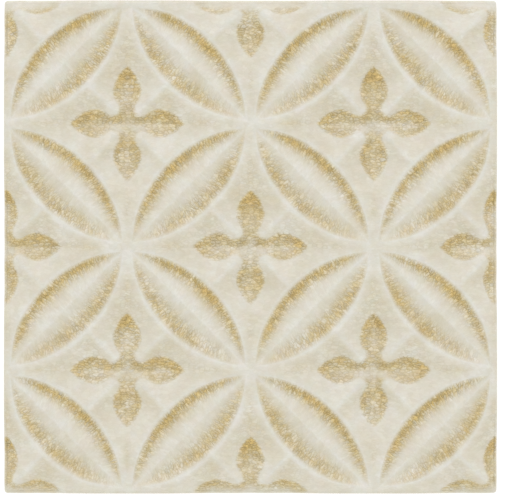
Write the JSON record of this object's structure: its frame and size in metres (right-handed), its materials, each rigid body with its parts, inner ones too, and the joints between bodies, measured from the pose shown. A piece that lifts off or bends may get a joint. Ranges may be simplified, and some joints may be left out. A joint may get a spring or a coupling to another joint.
{
  "type": "relief glazed tile",
  "caption": "Square ceramic wall tile whose glazed face has a moulded relief of overlapping circles, pointed petals and lobed flowers.",
  "frame": {"origin": "middle of the flat back, on the level floor that the tile lies on", "axes": "+Z out of the glazed face, +X and +Y along the tile's sides, +Y towards the top of the picture"},
  "size_m": [0.148, 0.148, 0.009],
  "materials": {
    "glaze": "cream crackle glaze, honey coloured where it pools, semi-gloss, over a cream earthenware body"
  },
  "bodies": {
    "root": {"tile_body": "glaze"}
  },
  "joints": []
}
